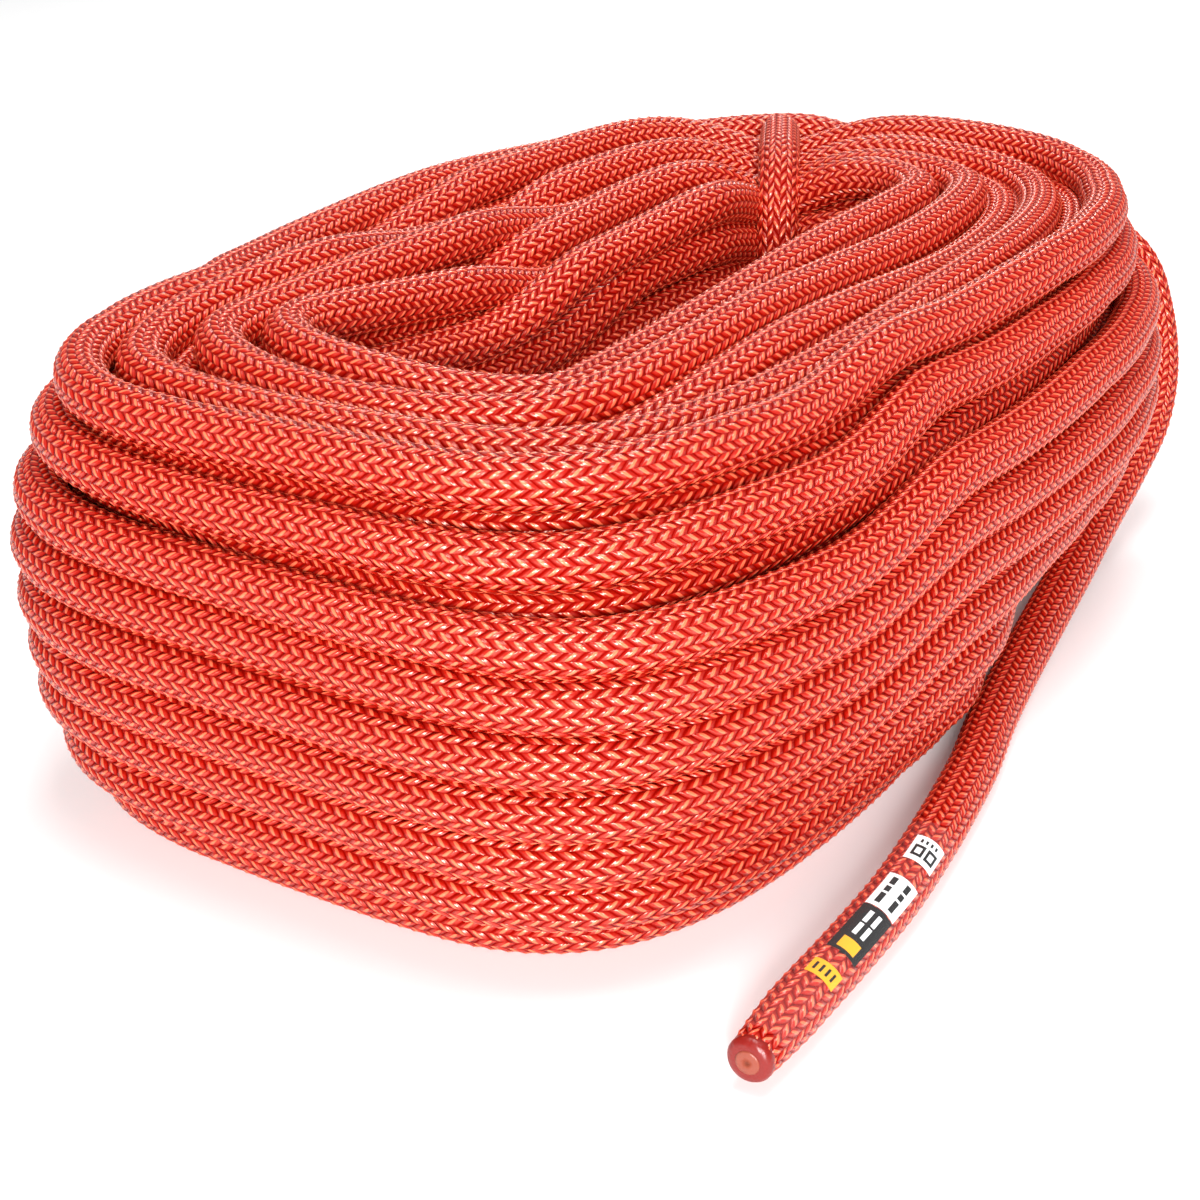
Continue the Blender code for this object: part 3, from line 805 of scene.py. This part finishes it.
def make_label(free_end, name, middle, length, half_angle, materials, marks):
    """A printed label: its face, and marks as (material, start, end, low, high) in shares of its size."""
    half = math.radians(half_angle)
    start, end = middle - length / 2, middle + length / 2
    verts, faces = free_end.patch(start, end, -half, half, LABEL_RADIUS, *LABEL_GRID)
    kinds = [0] * len(faces)
    for kind, start, end, low, high in marks:
        radius = BADGE_RADIUS if kind == 2 else PRINT_RADIUS
        more_verts, more_faces = free_end.patch(
            middle + (start - 0.5) * length,
            middle + (end - 0.5) * length,
            (2.0 * low - 1.0) * half,
            (2.0 * high - 1.0) * half,
            radius,
            *MARK_GRID,
        )
        faces += [tuple(corner + len(verts) for corner in face) for face in more_faces]
        verts += more_verts
        kinds += [kind] * len(more_faces)
    mesh = mesh_of(name, np.array(verts), faces, kinds=kinds)
    for made in materials:
        mesh.materials.append(made)
    return in_scene(name + "_print", mesh)


def ring_marks(kind, start, end, low, high, line, across):
    """A hollow block, as four bars."""
    return [
        (kind, start, end, low, low + across),
        (kind, start, end, high - across, high),
        (kind, start, start + line, low, high),
        (kind, end - line, end, low, high),
    ]


def make_labels(free_end):
    white = material("label_white", (0.85, 0.87, 0.87), 0.4)
    black = material("label_black", (0.004, 0.004, 0.005), 0.5, Specular_IOR_Level=0.2)
    yellow = material("label_yellow", (0.90, 0.38, 0.005), 0.4)
    batch = [(1, 0.25, 0.75, 0.14 + 0.2 * k, 0.22 + 0.2 * k) for k in range(4)]
    lines = [(0.10, 0.40), (0.46, 0.62), (0.68, 0.90)]
    standard = [(1, start, end, low, low + 0.16) for low in (0.18, 0.62) for start, end in lines]
    words = ((0.38, 0.62), (0.66, 0.9))
    maker = [(1, start, end, low, low + 0.13) for low in (0.30, 0.57) for start, end in words]
    maker += [(2, 0.06, 0.28, 0.22, 0.78)]
    length = ring_marks(1, 0.18, 0.62, 0.12, 0.46, 0.10, 0.08)
    length += ring_marks(1, 0.18, 0.62, 0.54, 0.88, 0.10, 0.08)
    length += [(1, 0.72, 0.86, 0.2 + 0.16 * k, 0.27 + 0.16 * k) for k in range(4)]
    looks = {
        "batch_label": ("yellow_print", (yellow, black), batch),
        "maker_label": ("black_print", (black, white, yellow), maker),
        "standard_label": ("white_print", (white, black), standard),
        "length_label": ("white_print", (white, black), length),
    }
    made = []
    for name, middle, size, half_angle in LABELS:
        slot, materials, marks = looks[name]
        piece = make_label(free_end, name, middle, size, half_angle, materials, marks)
        made.append(ride(piece, slot, name))
    return made


def make_sleeve(free_end):
    steps, sides = SLEEVE_GRID
    verts, faces = [], []
    for metres in np.linspace(SLEEVE_FROM, SLEEVE_TO, steps + 1):
        share = along_taper(metres / ROPE, TIP_TAPER)
        for j in range(sides):
            verts.append(free_end.at(metres, j * 2.0 * math.pi / sides, SLEEVE_RADIUS * share))
    for k in range(steps):
        for j in range(sides):
            a, b = k * sides + j, k * sides + (j + 1) % sides
            faces += [(a, a + sides, b + sides), (a, b + sides, b)]
    mesh = mesh_of("sleeve", np.array(verts), faces)
    mesh.materials.append(material("clear_film", (0.95, 0.93, 0.92), 0.12, Alpha=0.03, IOR=1.5))
    return ride(in_scene("clear_sleeve", mesh), "clear_sleeve", "end_sleeve")


END_PROFILE = (
    (0.30, -0.30),
    (0.395, -0.12),
    (0.420, -0.02),
    (0.415, 0.06),
    (0.375, 0.125),
    (0.300, 0.155),
    (0.215, 0.150),
    (0.0, 0.140),
)
CORE_PROFILE = ((0.225, 0.10), (0.222, 0.158), (0.195, 0.175), (0.12, 0.168), (0.0, 0.172))
INNER_PROFILE = ((0.36, -0.2), (0.43, -0.06), (0.42, 0.06), (0.34, 0.14), (0.18, 0.17), (0.0, 0.16))


def make_ends(line):
    tip, inner = line[-1], line[0]
    forward, back = line[-1] - line[-4], line[0] - line[3]
    end = turned("melted_end", tip, forward, END_PROFILE)
    end.data.materials.append(melted_material("melted_red", (0.22, 0.006, 0.003)))
    core = turned("fused_core", tip, forward, CORE_PROFILE)
    core.data.materials.append(melted_material("fused_core", (0.30, 0.055, 0.028)))
    start = turned("melted_inner_end", inner, back, INNER_PROFILE)
    start.data.materials.append(melted_material("melted_dark", (0.30, 0.015, 0.008)))
    cores = [f"core_strand_{number}" for number in range(7)]
    return [
        ride(end, "melted_end", "end_seal"),
        ride(core, "core", *cores, "marker_tape"),
        ride(start, "melted_end", "inner_end_seal"),
    ]


# Camera, in rope diameters from the coil's centre
CAMERA = (-41.45, -25.91, 23.28)
CAMERA_RIGHT, CAMERA_UP = (0.552, -0.834, -0.009), (0.352, 0.224, 0.909)
FOCAL = 2337.891 / 1200.0  # focal length as a share of the image's width
SENSOR_WIDTH = 36.0


def make_camera():
    data = bpy.data.cameras.new("camera")
    data.sensor_width = SENSOR_WIDTH
    data.lens = SENSOR_WIDTH * FOCAL
    data.clip_start, data.clip_end = 0.01, 20.0
    camera = in_scene("camera", data)
    right, up = Vector(CAMERA_RIGHT).normalized(), Vector(CAMERA_UP)
    back = right.cross(up).normalized()
    up = back.cross(right)
    turn = Matrix((right, up, back)).transposed().to_4x4()
    camera.matrix_world = Matrix.Translation(Vector(to_world(CAMERA))) @ turn
    bpy.context.scene.camera = camera


# Lights: name, direction from the coil, distance in metres, width, height, watts
LIGHTS = (
    ("key", (-0.78, -0.53, 0.36), 1.5, 0.32, 0.40, 33.0),
    ("back", (0.80, 0.46, 0.60), 1.2, 0.30, 0.20, 3.0),
    ("over", (0.05, -0.05, 1.0), 1.3, 0.7, 0.7, 12.0),
)
FLOOR_HALF = 4.0  # metres
FLOOR_GLOW, STUDIO_STRENGTH = 0.08, 0.30


def make_studio():
    mesh = bpy.data.meshes.new("floor")
    corners = [(x * FLOOR_HALF, y * FLOOR_HALF, 0) for x, y in ((-1, -1), (1, -1), (1, 1), (-1, 1))]
    mesh.from_pydata(corners, [], [(0, 1, 2, 3)])
    floor_white = material("floor_white", (0.90, 0.90, 0.90), 0.9, Emission_Color=(1.0, 1.0, 1.0, 1.0))
    floor_white.node_tree.nodes["Principled BSDF"].inputs["Emission Strength"].default_value = FLOOR_GLOW
    mesh.materials.append(floor_white)
    in_scene("floor", mesh)
    world = bpy.data.worlds.new("studio")
    world.use_nodes = True
    background = world.node_tree.nodes["Background"]
    background.inputs["Color"].default_value = (1.0, 1.0, 1.0, 1.0)
    background.inputs["Strength"].default_value = STUDIO_STRENGTH
    bpy.context.scene.world = world
    bpy.context.scene.view_settings.view_transform = "Standard"
    for name, direction, distance, width, height, watts in LIGHTS:
        light = bpy.data.lights.new(name, "AREA")
        light.shape = "RECTANGLE"
        light.energy, light.size, light.size_y = watts, width, height
        lamp = in_scene(name, light)
        lamp.location = Vector(direction).normalized() * distance
        lamp.rotation_euler = (-lamp.location).to_track_quat("-Z", "Y").to_euler()


def main():
    make_camera()
    points, fixed, kinds, travel = rope_line()
    points = push_apart(points, fixed, kinds, travel)
    line = smooth_route(points, FLOAT_STEP / 2, steps=6)
    line[:, 2] = np.maximum(line[:, 2], CROWN)
    run = running_length(points)
    nearest = np.searchsorted(run, running_length(line) * run[-1] / running_length(line)[-1])
    seen = seen_nodes(kinds)[np.clip(nearest, 0, len(points) - 1)]
    rope = in_scene("rope", rope_mesh(line, seen))
    rope.data.materials.append(sheath_material())
    ride(rope, "sheath", "rope_coil", "binding_turn", "free_end_sheath")
    free_end = FreeEnd(line[-TAIL_NODES:])
    details = [*make_labels(free_end), make_sleeve(free_end), *make_ends(line)]
    path = to_world(line)
    length = float(running_length(path)[-1])
    log("length", round(length, 2), "m")
    make_studio()


main()
